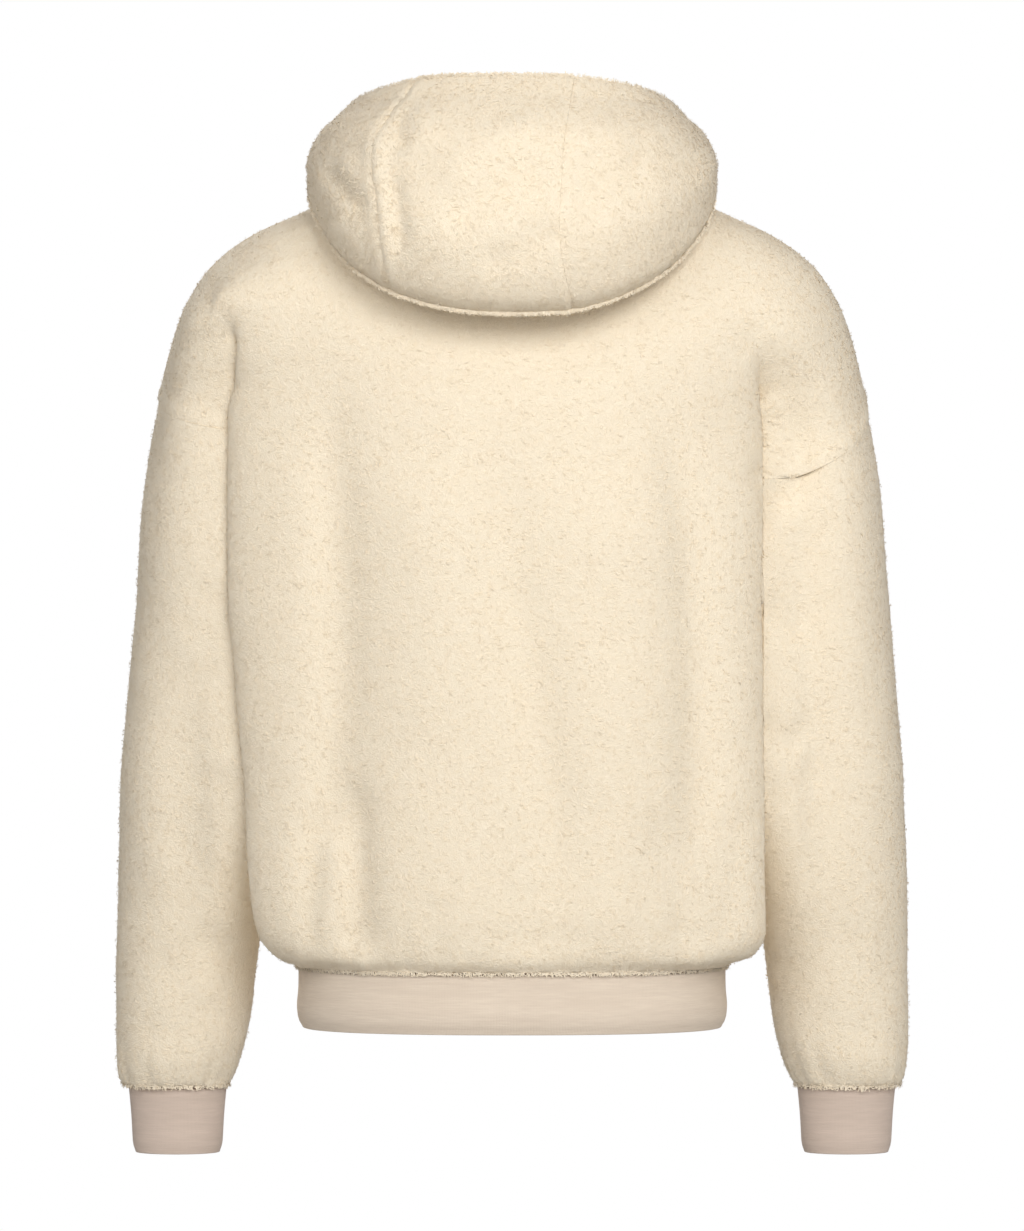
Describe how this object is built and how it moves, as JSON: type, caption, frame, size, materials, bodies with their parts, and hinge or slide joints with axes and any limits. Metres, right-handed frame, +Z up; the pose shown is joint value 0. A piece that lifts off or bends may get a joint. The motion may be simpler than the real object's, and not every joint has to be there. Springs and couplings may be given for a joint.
{
  "type": "hoodie",
  "caption": "Pullover hoodie in curly fleece with dropped shoulders, a panelled hood lying down on the back, and knitted hem band and cuffs.",
  "frame": {"origin": "middle of the neck opening, level with the two points where the neckline meets the shoulder seams, where the wearer's neck and shoulders carry the garment", "axes": "+X to the wearer's left, -Y to the front, +Y to the back where the hood lies, +Z up along the body"},
  "size_m": [0.64, 0.3232, 0.855],
  "materials": {
    "fleece": "matt curly pile",
    "knit": "matt fine rib knit"
  },
  "bodies": {
    "root": {"back_panel": "fleece", "front_panel": "fleece", "sleeve_left": "fleece", "sleeve_right": "fleece", "hood_left": "fleece", "hood_centre": "fleece", "hood_right": "fleece", "hem_band": "knit", "cuff_left": "knit", "cuff_right": "knit"}
  },
  "joints": []
}
